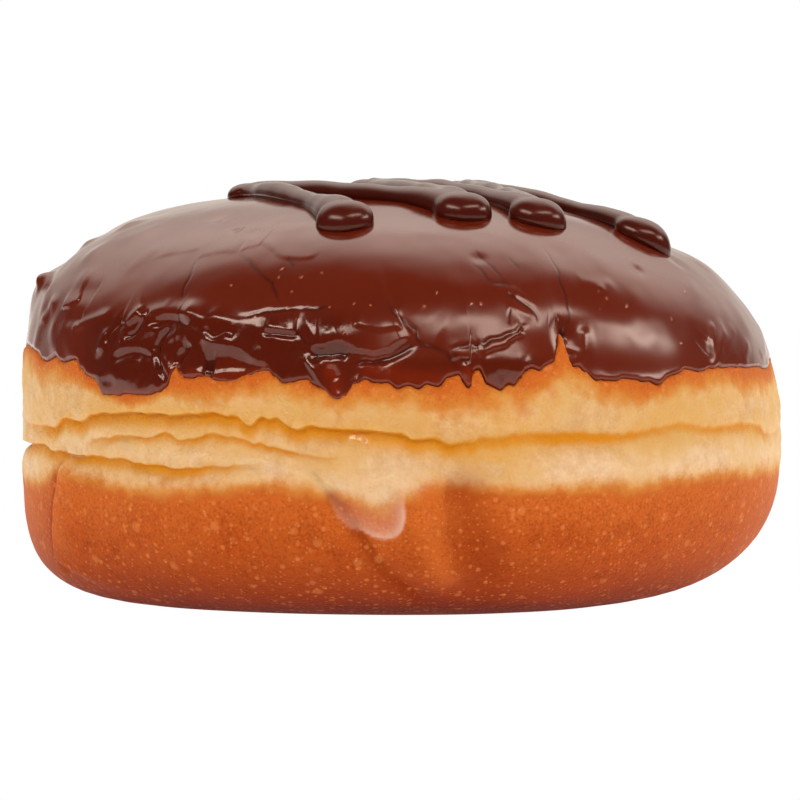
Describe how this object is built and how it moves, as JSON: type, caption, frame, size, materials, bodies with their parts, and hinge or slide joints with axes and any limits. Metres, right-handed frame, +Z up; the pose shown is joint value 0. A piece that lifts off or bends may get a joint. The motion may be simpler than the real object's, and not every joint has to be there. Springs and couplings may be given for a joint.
{
  "type": "boston cream doughnut",
  "caption": "Round filled doughnut, uncut, with a pale folded band round its middle, a cap of chocolate icing and a zigzag of darker chocolate on top.",
  "frame": {"origin": "on the table under the middle of the doughnut's bounding box", "axes": "+Z up, -Y towards the pictured side, +X to that side's right"},
  "size_m": [0.0892, 0.0896, 0.0495],
  "materials": {
    "dough": "fried dough, golden brown with a pale band, soft sheen",
    "icing": "glossy chocolate icing with a darker glossy zigzag"
  },
  "bodies": {
    "root": {"dough": "dough", "icing": "icing"}
  },
  "joints": []
}
